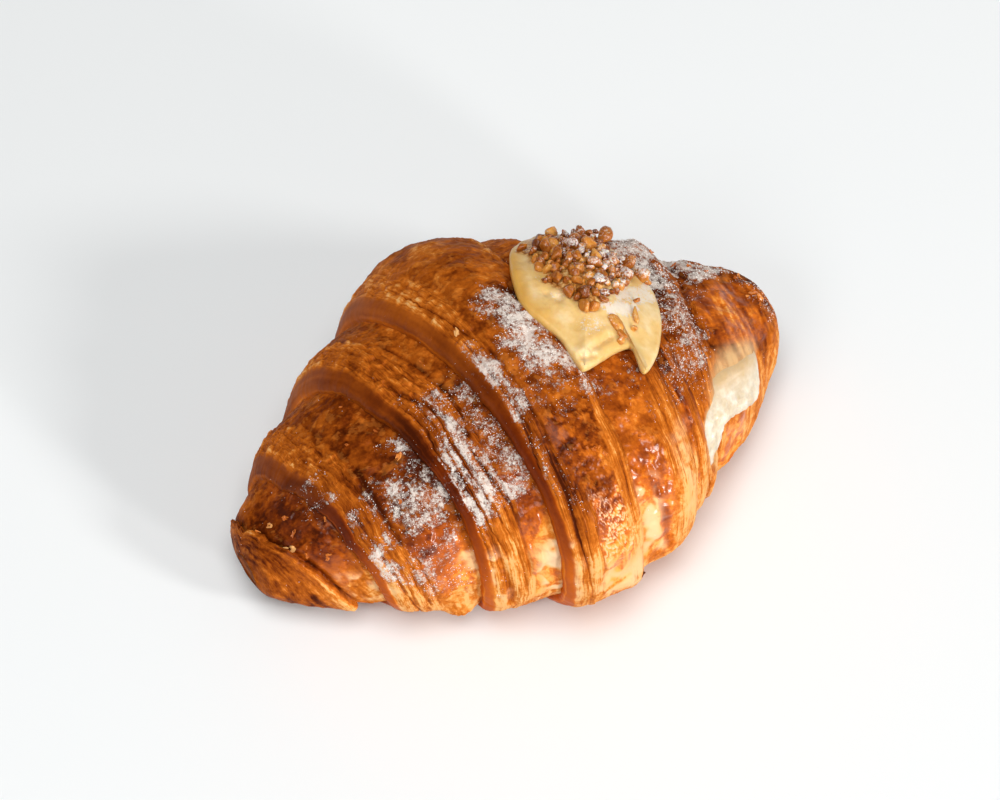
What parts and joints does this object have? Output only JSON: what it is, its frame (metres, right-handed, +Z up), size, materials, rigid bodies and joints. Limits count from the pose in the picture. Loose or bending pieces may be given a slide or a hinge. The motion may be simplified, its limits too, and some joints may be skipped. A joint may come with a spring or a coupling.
{
  "type": "caramel croissant",
  "caption": "Large baked croissant of overlapping flaky dough bands, with custard filling showing at one end and a petal of custard topped with chopped caramelised nuts.",
  "frame": {"origin": "on the table, below the middle of the croissant's bounding box", "axes": "+X along the croissant towards the blunt end where the filling shows, +Y towards the back, +Z up"},
  "size_m": [0.1602, 0.1116, 0.0718],
  "materials": {
    "baked_pastry": "satin, egg-washed",
    "custard_and_nuts": "soft gloss",
    "pale_custard": "soft gloss"
  },
  "bodies": {
    "root": {"croissant_body": "baked_pastry", "cream_topping": "custard_and_nuts", "cream_filling": "pale_custard"}
  },
  "joints": []
}
